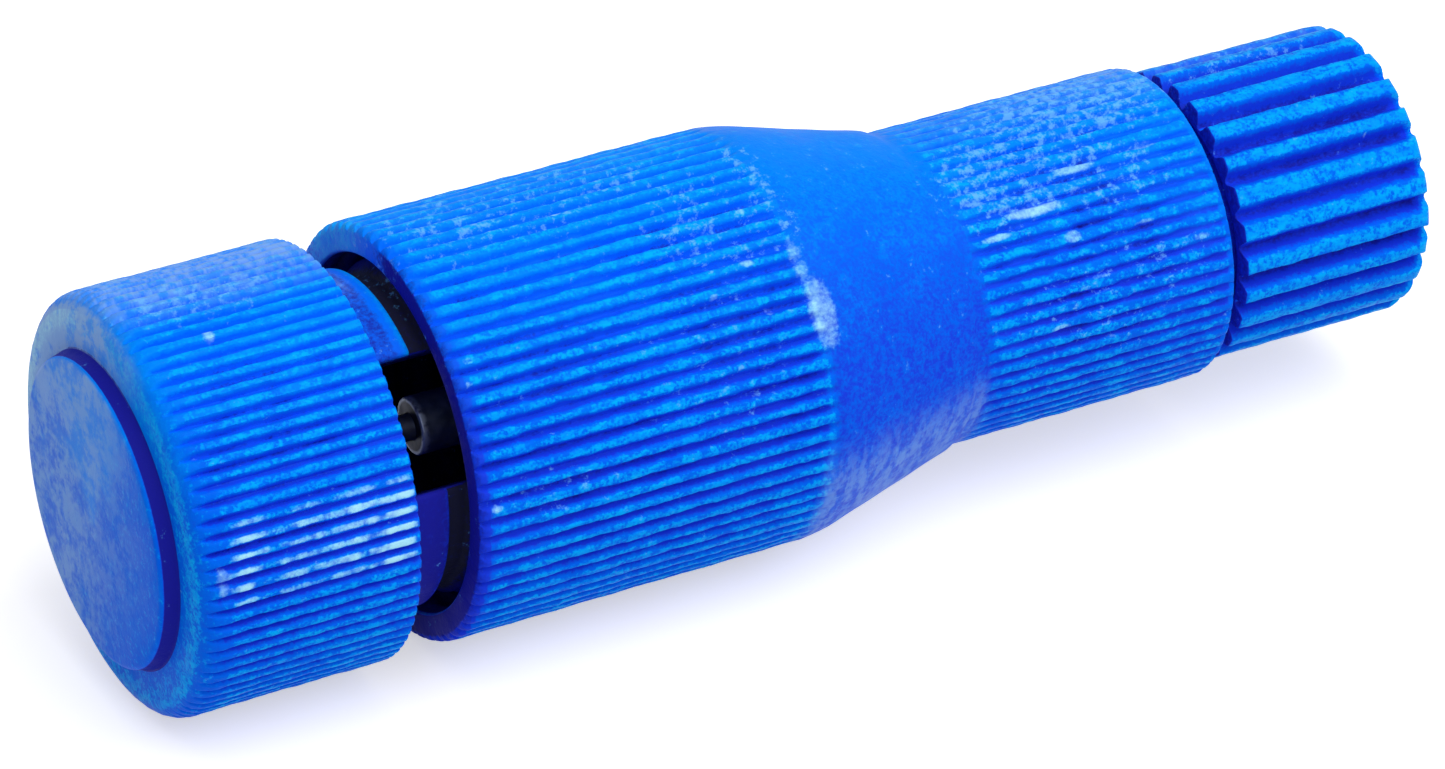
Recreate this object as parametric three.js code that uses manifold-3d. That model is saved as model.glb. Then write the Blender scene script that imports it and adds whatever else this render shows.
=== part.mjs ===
// Screw-on wire tap connector, in millimetres, +Z up, lying on its side along X.
// Four pieces: a slotted tap cap that holds the run wire, a moulded body, one turned
// contact core that pierces the run wire, and a wire cap that clamps the tap wire.
// The origin is under the middle of the connector, on the surface that it lies on.
import * as THREE from 'three';
import { mergeGeometries, mergeVertices } from 'three/addons/utils/BufferGeometryUtils.js';
import Module from 'manifold-3d';

const wasm = await Module();
wasm.setup();

// How round the turned faces are: sides of a bore's full turn, and steps of a rounded corner.
// A ribbed barrel has one side for each rib, so that every rib has one flat crest.
const boreSides = 32;
const cornerSteps = 2;

// Clearances and cuts that the pieces share
const cutOverrun = 0.5;
const pressGap = 0.1;
const threadRoom = 0.35;

// Both large barrels, the tap cap's head and the body's, have this radius
const barrelRadius = 6.5;

// Tap cap: knurled head with a raised disc on its end
const headLength = 7.0;
const headCorner = 0.85;
const headEdgeBreak = 0.12;
const discRise = 0.55;
const discEdge = 0.15;
const discDraft = 0.14;
const ringWidth = 0.79;

// Tap cap: plain shoulder, threaded stem and the slot that the run wire lies in
const shoulderLength = 1.55;
const shoulderEdge = 0.15;
const stemReliefDepth = 0.5;
const stemReliefLength = 0.7;
const stemLength = 5.7;
const stemChamfer = 0.4;
const slotWidth = 4.0;
const slotTurnDeg = 34;
const pinHoleRoom = 0.35;
const pinHoleDepth = 1.7;

// Body: big barrel, neck, small barrel and the threaded nose under the wire cap
const tapGap = 0.4;
const bigLength = 11.6;
const bigCornerRise = 0.3;
const bigCornerLength = 0.35;
const tapWall = 0.95;
const tapBoreDepth = 8.6;
const tapBoreFillet = 0.5;
const mouthChamfer = 0.13;
const landLength = 0.8;
const neckLength = 5.6;
const neckBlend = 0.9;
const smallRadius = 5.0;
const smallLength = 8.8;
const smallCorner = 0.4;
const noseRadius = 3.6;
const noseLength = 4.0;
const noseReliefDepth = 0.35;
const noseReliefLength = 0.6;
const noseChamfer = 0.35;

// Contact core: needle on a shank, seat flange, rod and clamping cone, turned from one bar
const needleRadius = 0.42;
const needleReach = 1.35;
const needlePointLength = 1.2;
const shankRadius = 0.9;
const shankDepth = 0.85;
const shankEdge = 0.12;
const flangeRadius = 2.2;
const flangeThickness = 1.0;
const rodRadius = 1.5;
const rodStandOut = 0.2;
const clampConeLength = 1.9;
const clampTipRadius = 0.3;

// Wire cap: coarse ribs outside, thread bore, clamping seat and wire hole inside
const wireGap = 0.6;
const wireWall = 0.73;
const wireCapLength = 6.85;
const wireCapCorner = 0.45;
const wireCapEdge = 0.12;
const wireBoreLength = 4.2;
const seatMouthRadius = 3.0;
const seatLength = 1.6;
const wireHoleRadius = 1.7;
const wireHoleFlare = 0.35;

// Ribs round each barrel: how many, and the groove between two of them
const headRibs = { count: 84, depth: 0.2, mouth: 0.27, floor: 0.07 };
const bigRibs = { count: 70, depth: 0.22, mouth: 0.32, floor: 0.08 };
const smallRibs = { count: 60, depth: 0.15, mouth: 0.27, floor: 0.07 };
const wireRibs = { count: 26, depth: 0.42, mouth: 0.58, floor: 0.26 };

// Stations along the axis, counted from the disc's face
const ringX = discRise;
const headEndX = ringX + headLength;
const shoulderEndX = headEndX + shoulderLength;
const stemEndX = shoulderEndX + stemLength;
const bodyX = shoulderEndX + tapGap;
const boreFloorX = bodyX + tapBoreDepth;
const bigEndX = bodyX + bigLength;
const neckX = bigEndX + landLength;
const neckEndX = neckX + neckLength;
const smallEndX = neckEndX + smallLength;
const noseEndX = smallEndX + noseLength;
const wireCapX = smallEndX + wireGap;
const wireCapEndX = wireCapX + wireCapLength;
const flangeX = boreFloorX - pressGap - flangeThickness;

// Radii that follow from the barrels and from what they fit
const discFootRadius = barrelRadius - headCorner - ringWidth;
const tapBoreRadius = barrelRadius - tapWall;
const stemRadius = tapBoreRadius - threadRoom;
const rodBoreRadius = rodRadius + pressGap;
const wireBoreRadius = noseRadius + threadRoom;
const wireCapRadius = wireBoreRadius + wireWall;
const pinHoleRadius = needleRadius + pinHoleRoom;

// Closed mesh of a geometry, as a solid that can be cut and joined
function toSolid(geometry) {
  const bare = geometry.index ? geometry.toNonIndexed() : geometry.clone();
  bare.deleteAttribute('uv');
  bare.deleteAttribute('normal');
  const merged = mergeVertices(bare);
  const corners = merged.index.array;
  const kept = [];
  for (let i = 0; i < corners.length; i += 3) {
    const [a, b, c] = [corners[i], corners[i + 1], corners[i + 2]];
    if (a !== b && b !== c && c !== a) {
      kept.push(a, b, c);
    }
  }
  const vertProperties = new Float32Array(merged.attributes.position.array);
  return new wasm.Manifold(new wasm.Mesh({ numProp: 3, vertProperties, triVerts: new Uint32Array(kept) }));
}

// Geometry of a finished solid, flat shaded as a faceted part is
function toGeometry(solid) {
  const mesh = solid.getMesh();
  const geometry = new THREE.BufferGeometry();
  geometry.setAttribute('position', new THREE.BufferAttribute(new Float32Array(mesh.vertProperties), 3));
  geometry.setIndex(new THREE.BufferAttribute(new Uint32Array(mesh.triVerts), 1));
  return geometry;
}

// Solid of revolution about X from an outline of (radius, distance along X), one side at the bottom
function turned(outline, sides) {
  const points = outline.getPoints(cornerSteps);
  const lathe = new THREE.LatheGeometry(points, sides, Math.PI / sides);
  lathe.rotateZ(-Math.PI / 2);
  return toSolid(lathe);
}

// Straight round bore along X
function bore(radius, fromX, toX) {
  const cylinder = new THREE.CylinderGeometry(radius, radius, toX - fromX, boreSides);
  cylinder.rotateZ(-Math.PI / 2);
  cylinder.translate((fromX + toX) / 2, 0, 0);
  return toSolid(cylinder);
}

// Comb of straight V grooves that leaves the ribs of a barrel standing, one rib at the bottom
function ribGrooves(ribs, radius, fromX, toX) {
  const section = new THREE.Shape();
  const spread = (ribs.mouth - ribs.floor) / ribs.depth;
  const overMouth = ribs.mouth + spread * cutOverrun;
  section.moveTo(-ribs.floor / 2, radius - ribs.depth);
  section.lineTo(ribs.floor / 2, radius - ribs.depth);
  section.lineTo(overMouth / 2, radius + cutOverrun);
  section.lineTo(-overMouth / 2, radius + cutOverrun);
  section.closePath();
  const grooves = [];
  for (let i = 0; i < ribs.count; i += 1) {
    const groove = new THREE.ExtrudeGeometry(section, { depth: toX - fromX, bevelEnabled: false });
    groove.rotateZ(Math.PI + ((i + 0.5) / ribs.count) * 2 * Math.PI);
    groove.rotateY(Math.PI / 2);
    groove.rotateX(Math.PI / 2);
    groove.translate(fromX, 0, 0);
    grooves.push(groove);
  }
  return toSolid(mergeGeometries(grooves));
}

// Slotted cap: head, disc, shoulder and stem in one moulding
function tapCap() {
  const discRadius = discFootRadius - discDraft;
  const reliefRadius = stemRadius - stemReliefDepth;
  const reliefEndX = shoulderEndX + stemReliefLength;
  const outline = new THREE.Path();
  outline.moveTo(0, 0);
  outline.lineTo(discRadius - discEdge, 0);
  outline.quadraticCurveTo(discRadius, 0, discRadius, discEdge);
  outline.lineTo(discFootRadius, ringX);
  outline.lineTo(barrelRadius - headCorner, ringX);
  outline.absarc(barrelRadius - headCorner, ringX + headCorner, headCorner, -Math.PI / 2, 0, false);
  outline.lineTo(barrelRadius, headEndX - headEdgeBreak);
  outline.lineTo(barrelRadius - headEdgeBreak, headEndX);
  outline.lineTo(stemRadius, headEndX);
  outline.lineTo(stemRadius, shoulderEndX - shoulderEdge);
  outline.lineTo(stemRadius - shoulderEdge, shoulderEndX);
  outline.lineTo(reliefRadius, shoulderEndX);
  outline.lineTo(reliefRadius, reliefEndX);
  outline.lineTo(stemRadius, reliefEndX + stemReliefDepth);
  outline.lineTo(stemRadius, stemEndX - stemChamfer);
  outline.lineTo(stemRadius - stemChamfer, stemEndX);
  outline.lineTo(0, stemEndX);
  return turned(outline, headRibs.count)
    .subtract(ribGrooves(headRibs, barrelRadius, ringX, headEndX + cutOverrun))
    .subtract(wireSlot())
    .subtract(bore(pinHoleRadius, headEndX - pinHoleDepth, headEndX + cutOverrun));
}

// Slot right across the stem and shoulder, open at the stem's end, for the run wire
function wireSlot() {
  const length = stemEndX + cutOverrun - headEndX;
  const across = 2 * (barrelRadius + cutOverrun);
  const slot = new THREE.BoxGeometry(length, across, slotWidth);
  slot.translate(headEndX + length / 2, 0, 0);
  slot.rotateX(-THREE.MathUtils.degToRad(slotTurnDeg));
  return toSolid(slot);
}

// Bore of the body: wide thread bore for the stem, then the rod's bore right through
function bodyBore() {
  const outline = new THREE.Path();
  outline.moveTo(0, bodyX - cutOverrun);
  outline.lineTo(tapBoreRadius + mouthChamfer, bodyX - cutOverrun);
  outline.lineTo(tapBoreRadius + mouthChamfer, bodyX);
  outline.lineTo(tapBoreRadius, bodyX + mouthChamfer);
  outline.lineTo(tapBoreRadius, boreFloorX - tapBoreFillet);
  outline.quadraticCurveTo(tapBoreRadius, boreFloorX, tapBoreRadius - tapBoreFillet, boreFloorX);
  outline.lineTo(rodBoreRadius, boreFloorX);
  outline.lineTo(rodBoreRadius, noseEndX + cutOverrun);
  outline.lineTo(0, noseEndX + cutOverrun);
  return turned(outline, boreSides);
}

// Body moulding: the outside turned in one outline, then bored and ribbed
function body() {
  const blendFall = ((barrelRadius - smallRadius) / neckLength) * (neckBlend / 2);
  const reliefRadius = noseRadius - noseReliefDepth;
  const reliefEndX = smallEndX + noseReliefLength;
  const outline = new THREE.Path();
  outline.moveTo(0, bodyX);
  outline.lineTo(barrelRadius - bigCornerRise, bodyX);
  outline.quadraticCurveTo(barrelRadius, bodyX, barrelRadius, bodyX + bigCornerLength);
  outline.lineTo(barrelRadius, neckX - neckBlend / 2);
  outline.quadraticCurveTo(barrelRadius, neckX, barrelRadius - blendFall, neckX + neckBlend / 2);
  outline.lineTo(smallRadius + blendFall, neckEndX - neckBlend / 2);
  outline.quadraticCurveTo(smallRadius, neckEndX, smallRadius, neckEndX + neckBlend / 2);
  outline.lineTo(smallRadius, smallEndX - smallCorner);
  outline.absarc(smallRadius - smallCorner, smallEndX - smallCorner, smallCorner, 0, Math.PI / 2, false);
  outline.lineTo(reliefRadius, smallEndX);
  outline.lineTo(reliefRadius, reliefEndX);
  outline.lineTo(noseRadius, reliefEndX + noseReliefDepth);
  outline.lineTo(noseRadius, noseEndX - noseChamfer);
  outline.lineTo(noseRadius - noseChamfer, noseEndX);
  outline.lineTo(0, noseEndX);
  return turned(outline, bigRibs.count)
    .subtract(bodyBore())
    .subtract(ribGrooves(bigRibs, barrelRadius, bodyX - cutOverrun, bigEndX))
    .subtract(ribGrooves(smallRibs, smallRadius, neckEndX, smallEndX + cutOverrun));
}

// Contact core: the needle's point stands in the slot, the cone in the wire cap
function contactCore() {
  const tipX = bodyX - needleReach;
  const shankX = bodyX + shankDepth;
  const coneX = noseEndX + rodStandOut;
  const outline = new THREE.Path();
  outline.moveTo(0, tipX);
  outline.lineTo(needleRadius, tipX + needlePointLength);
  outline.lineTo(needleRadius, shankX);
  outline.lineTo(shankRadius - shankEdge, shankX);
  outline.lineTo(shankRadius, shankX + shankEdge);
  outline.lineTo(shankRadius, flangeX);
  outline.lineTo(flangeRadius, flangeX);
  outline.lineTo(flangeRadius, flangeX + flangeThickness);
  outline.lineTo(rodRadius, flangeX + flangeThickness);
  outline.lineTo(rodRadius, coneX);
  outline.lineTo(clampTipRadius, coneX + clampConeLength);
  outline.lineTo(0, coneX + clampConeLength);
  return turned(outline, boreSides);
}

// Bore of the wire cap: thread bore, clamping seat, then the flared hole for the tap wire
function wireCapBore() {
  const boreEndX = wireCapX + wireBoreLength;
  const seatEndX = boreEndX + seatLength;
  const outline = new THREE.Path();
  outline.moveTo(0, wireCapX - cutOverrun);
  outline.lineTo(wireBoreRadius, wireCapX - cutOverrun);
  outline.lineTo(wireBoreRadius, boreEndX);
  outline.lineTo(seatMouthRadius, boreEndX);
  outline.lineTo(wireHoleRadius, seatEndX);
  outline.lineTo(wireHoleRadius, wireCapEndX - wireHoleFlare);
  outline.lineTo(wireHoleRadius + wireHoleFlare, wireCapEndX);
  outline.lineTo(wireHoleRadius + wireHoleFlare, wireCapEndX + cutOverrun);
  outline.lineTo(0, wireCapEndX + cutOverrun);
  return turned(outline, boreSides);
}

// Wire cap moulding: two sides to a rib, bored and ribbed
function wireCap() {
  const cornerRadius = wireCapRadius - wireCapCorner;
  const cornerX = wireCapEndX - wireCapCorner;
  const outline = new THREE.Path();
  outline.moveTo(0, wireCapX);
  outline.lineTo(wireCapRadius - wireCapEdge, wireCapX);
  outline.lineTo(wireCapRadius, wireCapX + wireCapEdge);
  outline.lineTo(wireCapRadius, cornerX);
  outline.absarc(cornerRadius, cornerX, wireCapCorner, 0, Math.PI / 2, false);
  outline.lineTo(0, wireCapEndX);
  return turned(outline, 2 * wireRibs.count)
    .subtract(wireCapBore())
    .subtract(ribGrooves(wireRibs, wireCapRadius, wireCapX - cutOverrun, wireCapEndX + cutOverrun));
}

// Moulded blue plastic and plated metal
const bluePlastic = new THREE.MeshStandardMaterial({ color: 0x0a5bf0, roughness: 0.45, metalness: 0 });
const platedMetal = new THREE.MeshStandardMaterial({ color: 0x8c8f94, roughness: 0.3, metalness: 1 });

function piece(name, solid, material) {
  const mesh = new THREE.Mesh(toGeometry(solid), material);
  mesh.name = name;
  return mesh;
}

// Height of the axis over a surface that a large barrel lies on with one flat crest
function restHeight(ribs) {
  return barrelRadius * Math.cos(Math.PI / ribs.count);
}

const connector = new THREE.Group();
connector.add(piece('tap_cap', tapCap(), bluePlastic));
connector.add(piece('body', body(), bluePlastic));
connector.add(piece('contact_core', contactCore(), platedMetal));
connector.add(piece('wire_cap', wireCap(), bluePlastic));
const axisHeight = Math.max(restHeight(headRibs), restHeight(bigRibs));
connector.position.set(-wireCapEndX / 2, 0, axisHeight);
connector.updateMatrixWorld(true);

export default connector;
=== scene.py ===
# Screw-on wire tap connector: worn blue plastic mouldings round a plated contact, on a pale floor.
import math
import random
from collections import namedtuple

import bmesh
import bpy
import numpy as np
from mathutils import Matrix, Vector


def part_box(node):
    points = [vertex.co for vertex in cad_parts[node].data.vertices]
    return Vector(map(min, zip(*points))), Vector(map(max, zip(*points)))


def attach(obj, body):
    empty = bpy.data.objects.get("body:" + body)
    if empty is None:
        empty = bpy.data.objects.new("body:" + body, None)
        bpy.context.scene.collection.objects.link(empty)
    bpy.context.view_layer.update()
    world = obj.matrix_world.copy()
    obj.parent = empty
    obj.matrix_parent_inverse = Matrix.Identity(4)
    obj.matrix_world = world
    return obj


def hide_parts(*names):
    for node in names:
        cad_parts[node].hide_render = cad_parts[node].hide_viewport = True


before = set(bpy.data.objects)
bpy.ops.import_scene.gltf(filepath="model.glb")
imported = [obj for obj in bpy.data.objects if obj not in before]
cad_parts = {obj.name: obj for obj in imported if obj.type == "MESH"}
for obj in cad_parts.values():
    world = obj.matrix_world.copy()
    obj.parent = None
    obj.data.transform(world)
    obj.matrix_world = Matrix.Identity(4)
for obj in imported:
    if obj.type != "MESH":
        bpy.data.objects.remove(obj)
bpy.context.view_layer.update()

MM = 0.001
TAU = 2 * math.pi

# The axis of the connector and the tap cap's end, from the frame
cap_low, cap_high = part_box("tap_cap")
START_X = cap_low.x
AXIS_Z = (cap_low.z + cap_high.z) / 2

# Sizes in millimetres. Stations along the axis are counted from the disc on the tap cap's end.
HEAD_RADIUS = 6.5
HEAD_CORNER = 0.85
HEAD_RIM = 0.14
HEAD_END_X = 7.55
DISC_RADIUS = 4.72
DISC_FOOT_RADIUS = 4.86
DISC_EDGE = 0.17
RING_X = 0.55
NEEDLE_HOLE_RADIUS = 0.77
NEEDLE_HOLE_X = 5.85
FACE_DIMPLE_RADIUS = 0.6
HOLE_DIMPLE_RADIUS = 0.3

STEM_RADIUS = 5.2
STEM_ROOT_RADIUS = 4.75
SHOULDER_END_X = 9.1
SHOULDER_EDGE = 0.16
RELIEF_LENGTH = 0.7
THREAD_LEAD = 1.0
THREAD_RISE = 0.5
STEM_END_X = 14.8
STEM_CHAMFER = 0.4
STEM_INSET = 0.3
SLOT_HALF = 2.0
SLOT_TURN = math.radians(34)
SLOT_EDGE = 0.12

BODY_X = 9.5
BIG_RADIUS = 6.5
BIG_FACE_RADIUS = 6.2
BIG_CORNER_LENGTH = 0.35
BIG_RIBS_END_X = 21.15
MOUTH_EDGE = 0.13
BORE_RADIUS = 5.55
BORE_FLOOR_X = 18.1
BORE_FILLET = 0.5
NECK_X = 21.9
NECK_END_X = 27.5
NECK_BLEND = 0.7
SMALL_RADIUS = 5.0
SMALL_RIBS_X = 27.55
SMALL_END_X = 36.3
SMALL_CORNER = 0.3
NOSE_RADIUS = 3.6
NOSE_ROOT_RADIUS = 3.2
NOSE_RELIEF = 0.4
NOSE_RISE = 0.3
NOSE_CORNER = 0.35
NOSE_END_X = 40.3
ROD_BORE_RADIUS = 1.6

NEEDLE_TIP_X = 8.15
NEEDLE_POINT_X = 9.35
NEEDLE_RADIUS = 0.42
SHANK_X = 10.35
SHANK_RADIUS = 0.9
SHANK_EDGE = 0.16
FLANGE_X = 17.0
FLANGE_END_X = 18.0
FLANGE_RADIUS = 2.2
ROD_RADIUS = 1.5
CONE_X = 40.5
CONE_END_X = 42.4
CONE_TIP_RADIUS = 0.3
POINT_FLAT_RADIUS = 0.02
CONE_DIMPLE_RADIUS = 0.05

WIRE_CAP_X = 36.9
WIRE_CAP_END_X = 43.75
WIRE_CAP_RADIUS = 4.68
WIRE_CAP_CORNER = 0.5
WIRE_CAP_RIM = 0.14
WIRE_MOUTH_EDGE = 0.08
WIRE_BORE_RADIUS = 3.95
WIRE_BORE_END_X = 41.1
SEAT_RADIUS = 3.0
SEAT_END_X = 42.7
WIRE_HOLE_RADIUS = 1.7
WIRE_HOLE_FLARE = 0.35

# Short lengths, from the sharpest to the softest: what is cut off at an edge, and room beside a surface
CRISP = 0.05
KEEN = 0.06
SLIGHT = 0.1
EASED = 0.12
SOFT = 0.15

# Screw threads: pitch, depth of the groove
Thread = namedtuple("Thread", "pitch depth")
TAP_THREAD = Thread(1.25, 0.42)
TAP_BORE_THREAD = Thread(1.25, 0.26)
NOSE_THREAD = Thread(1.0, 0.3)
CAP_BORE_THREAD = Thread(1.0, 0.14)
THREAD_STEP = 0.125

# Ribs round a barrel: count, turn of the first groove in shares of a pitch, groove depth,
# shares of the half pitch where the groove's floor ends and where its mouth ends, fall of the
# crest towards its edges, how unevenly the ribs are worn and how far the grooves wander
Ribs = namedtuple("Ribs", "count turn_share depth floor_share mouth_share crown wear wander")
HEAD_RIBS = Ribs(84, 0.03, 0.2, 0.05, 0.66, 0.06, 0.2, 0.07)
BIG_RIBS = Ribs(70, 0.5, 0.22, 0.08, 0.7, 0.07, 0.2, 0.08)
SMALL_RIBS = Ribs(60, 0.0, 0.15, 0.04, 0.62, 0.05, 0.45, 0.14)
WIRE_RIBS = Ribs(26, 0.94, 0.42, 0.14, 0.64, 0.15, 0.08, 0.03)

# Unevenness of the worn surfaces
WAVE_FADE = 0.6  # how much weaker each shorter wave is
WAVE_HEIGHT = 2.2  # height of all the waves together
LUMP_SEED = 40  # lumps are drawn with seeds this far from those of the waves
GROOVE_STRAY = 0.05  # how far a groove stands off its place, in pitches
GROOVE_STRENGTH = (0.82, 1.06)  # depth of the shallowest and the deepest groove
GROOVE_WORN = (0.15, 1.1)  # the same where the barrel is worn
GROOVE_LOSS = 0.4  # how much more of it is worn than not
LUMP_SHARE = 1.2  # strength of the lumps beside the waves
RIB_EASE = 0.02  # ease of a groove's edges
BARREL_WAVE = 0.01
BARREL_LUMP = 0.016
NECK_WAVE = 0.02
THREAD_FLANK = (0.25, 0.75)  # where a thread's flank begins and ends, between root and crest

# Lengths over which ribs run in and out, and room round a surface's radius
HEAD_RUN_IN = 0.2
BIG_RUN_IN = 0.5
SMALL_RUN_IN = 0.4
RUN_OUT = 0.5
ROOM = 0.2
SMALL_ROOM = 0.35

# Seeds of each barrel's grooves and unevenness
HEAD_SEEDS = (11, 12)
BIG_SEEDS = (21, 22)
SMALL_SEEDS = (23, 24)
NECK_SEED = 25
WIRE_SEEDS = (31, 32)

# Facets round each piece, a whole number of them to each rib, and the length of a facet
HEAD_SIDES = 10 * HEAD_RIBS.count
BODY_SIDES = 12 * BIG_RIBS.count
WIRE_CAP_SIDES = 28 * WIRE_RIBS.count
CORE_SIDES = 96
RIB_STEP = 0.16
STEM_ARC_STEPS = 110
STEM_EDGE_STEPS = 4
STEM_FLAT_STEPS = 10
ROUND_STEPS = 8

# A point of an outline, with the lengths cut off before and behind it, and the step to the next
Corner = namedtuple("Corner", "x r before after step", defaults=(0, None, None))


def outline(corners, closed=False, ease_steps=5):
    """Points (x, r) through corners. A corner with a cut is eased by a curve between its two cuts."""
    points = []
    count = len(corners)
    for i, corner in enumerate(corners):
        here = np.array([corner.x, corner.r], float)
        inner = closed or 0 < i < count - 1
        if corner.before and inner:
            after = corner.before if corner.after is None else corner.after
            ahead = corners[(i + 1) % count]
            behind = corners[i - 1]
            back = np.array([behind.x, behind.r]) - here
            forward = np.array([ahead.x, ahead.r]) - here
            first = here + back / np.linalg.norm(back) * corner.before
            last = here + forward / np.linalg.norm(forward) * after
            for k in range(ease_steps + 1):
                t = k / ease_steps
                points.append((1 - t) ** 2 * first + 2 * t * (1 - t) * here + t ** 2 * last)
        else:
            points.append(here)
        if corner.step:
            ahead = corners[(i + 1) % count]
            target = np.array([ahead.x, ahead.r], float)
            way = target - points[-1]
            room = np.linalg.norm(way) - ahead.before
            pieces = max(1, int(room / corner.step))
            start = points[-1]
            for k in range(1, pieces):
                points.append(start + way / np.linalg.norm(way) * room * k / pieces)
    return np.array(points)


def smooth_step(low, high, value):
    """0 below low, 1 above high, eased between."""
    t = np.clip((value - low) / (high - low), 0, 1)
    return t * t * (3 - 2 * t)


def window(value, low, high, ease):
    """1 between low and high and 0 outside, eased over this length at both ends."""
    rise = smooth_step(low - ease / 2, low + ease / 2, value)
    return rise * (1 - smooth_step(high - ease / 2, high + ease / 2, value))


def ripple(seed, x, theta, waves=7, longest=9.0, turns=3):
    """Waviness between about -1 and 1 over a barrel's surface, repeating round the turn."""
    rng = random.Random(seed)
    total = np.zeros(np.broadcast(x, theta).shape)
    for k in range(waves):
        length = longest / (1 + k)
        around = rng.randint(-turns, turns) * (1 + k)
        total += np.sin(TAU * x / length + around * theta + rng.uniform(0, TAU)) / (1 + WAVE_FADE * k)
    return total / WAVE_HEIGHT


def lumps(seed, x, theta):
    """Small unevenness of a worn moulding, between about -1 and 1."""
    return ripple(seed, x, theta, waves=4, longest=1.7, turns=24)


def unevenness(seed, x, theta):
    """How far the outside of a worn barrel stands below its full radius, as a negative length."""
    return BARREL_WAVE * ripple(seed, x, theta) + BARREL_LUMP * (lumps(seed + LUMP_SEED, x, theta) - 1)


def groove_depth(ribs, seed, x, theta):
    """How deep the groove between two ribs is at each point, in millimetres."""
    rng = np.random.default_rng(seed)
    place = theta / TAU * ribs.count - ribs.turn_share
    index = np.floor(place).astype(int) % ribs.count
    drift = rng.uniform(-GROOVE_STRAY, GROOVE_STRAY, ribs.count)[index]
    strength = rng.uniform(*GROOVE_STRENGTH, ribs.count)[index]
    offset = np.abs((place - np.floor(place)) - 0.5 - drift) * 2
    waver = ripple(seed + 1, x, theta, longest=6.0) + LUMP_SHARE * lumps(seed + 3, x, theta)
    wander = ribs.wander * waver
    share = 1 - smooth_step(ribs.floor_share, ribs.mouth_share, offset + wander)
    worn = np.clip(1 + ribs.wear * (ripple(seed + 2, x, theta) - GROOVE_LOSS), *GROOVE_WORN)
    return ribs.depth * share * strength * worn + ribs.crown * (1 - np.clip(offset, 0, 1)) ** 2


def soft_lower(a, b, ease):
    """The lower of two heights, eased where they meet."""
    gap = np.clip(0.5 + (b - a) / (2 * ease), 0, 1)
    return b + (a - b) * gap - ease * gap * (1 - gap)


def ribbed(radius, ribs, seeds, x, r, theta, start, end, run_in):
    """Radius of a worn barrel, with straight grooves sunk from start to end."""
    groove_seed, wear_seed = seeds
    root = radius - groove_depth(ribs, groove_seed, x, theta) * window(x, start, end, run_in)
    return np.minimum(soft_lower(r, root, RIB_EASE) + unevenness(wear_seed, x, theta), radius)


def thread_height(thread, x, theta):
    """0 in the thread's root and 1 on its crest, for a single helix."""
    place = x / thread.pitch - theta / TAU
    wave = np.abs((place - np.floor(place)) - 0.5) * 2
    return smooth_step(*THREAD_FLANK, wave)


def into_frame(points):
    """Points in millimetres from the disc's face, moved into the frame."""
    moved = np.array(points, float) * MM
    moved[:, 0] += START_X
    moved[:, 2] += AXIS_Z
    return moved


def new_piece(name, vertices, faces):
    mesh = bpy.data.meshes.new(name)
    mesh.from_pydata(into_frame(vertices).tolist(), [], faces)
    mesh.update()
    piece = bpy.data.objects.new(name, mesh)
    bpy.context.scene.collection.objects.link(piece)
    return piece


def turned(name, points, sides, shape, closed=False):
    """Closed mesh of revolution about X. shape(x, r, theta) gives the radius of each point."""
    theta = np.arange(sides) / sides * TAU
    x = np.repeat(points[:, 0][:, None], sides, axis=1)
    r = np.repeat(points[:, 1][:, None], sides, axis=1)
    turn = np.repeat(theta[None, :], len(points), axis=0)
    radius = shape(x, r, turn)
    vertices = np.stack([x, -radius * np.sin(turn), -radius * np.cos(turn)], axis=-1).reshape(-1, 3)
    vertices = vertices.tolist()
    rings = len(points)
    faces = []
    for i in range(rings if closed else rings - 1):
        low = i * sides
        high = (i + 1) % rings * sides
        for j in range(sides):
            k = (j + 1) % sides
            faces.append((low + j, high + j, high + k, low + k))
    if not closed:
        for ring, station, flipped in ((0, points[0], True), (rings - 1, points[-1], False)):
            centre = len(vertices)
            vertices.append((station[0], 0, 0))
            for j in range(sides):
                k = (j + 1) % sides
                a, b = ring * sides + j, ring * sides + k
                faces.append((centre, b, a) if not flipped else (centre, a, b))
    return new_piece(name, vertices, faces)


def plain(x, r, theta):
    return r


def face_outwards(piece):
    """Turns the faces so that they all point out of the solid."""
    work = bmesh.new()
    work.from_mesh(piece.data)
    bmesh.ops.recalc_face_normals(work, faces=work.faces)
    if work.calc_volume(signed=True) < 0:
        bmesh.ops.reverse_faces(work, faces=work.faces)
    work.to_mesh(piece.data)
    work.free()


def soften(piece, angle=42):
    face_outwards(piece)
    piece.data.shade_smooth()
    piece.data.set_sharp_from_angle(angle=math.radians(angle))


# Tap cap

def head_shape(x, r, theta):
    """Ribs round the head and over its rounded corner."""
    ribs = ribbed(HEAD_RADIUS, HEAD_RIBS, HEAD_SEEDS, x, r, theta, RING_X, HEAD_END_X + 1, HEAD_RUN_IN)
    return np.where(r > HEAD_RADIUS - HEAD_CORNER / 2, ribs, r)


def cap_head():
    """The head with its raised disc, and the hole in the slot's floor for the needle."""
    rib_floor = HEAD_RADIUS - HEAD_RIBS.depth
    corners = [
        Corner(0, FACE_DIMPLE_RADIUS),
        Corner(0, DISC_RADIUS, DISC_EDGE),
        Corner(RING_X, DISC_FOOT_RADIUS, KEEN),
        Corner(RING_X, HEAD_RADIUS, HEAD_CORNER, step=RIB_STEP),
        Corner(HEAD_END_X, HEAD_RADIUS, HEAD_RIM),
        Corner(HEAD_END_X, rib_floor - SLIGHT),
        Corner(HEAD_END_X, NEEDLE_HOLE_RADIUS, SLIGHT),
        Corner(NEEDLE_HOLE_X, NEEDLE_HOLE_RADIUS, SLIGHT),
        Corner(NEEDLE_HOLE_X, HOLE_DIMPLE_RADIUS),
    ]
    return turned("cap_head", outline(corners, ease_steps=ROUND_STEPS), HEAD_SIDES, head_shape)


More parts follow.
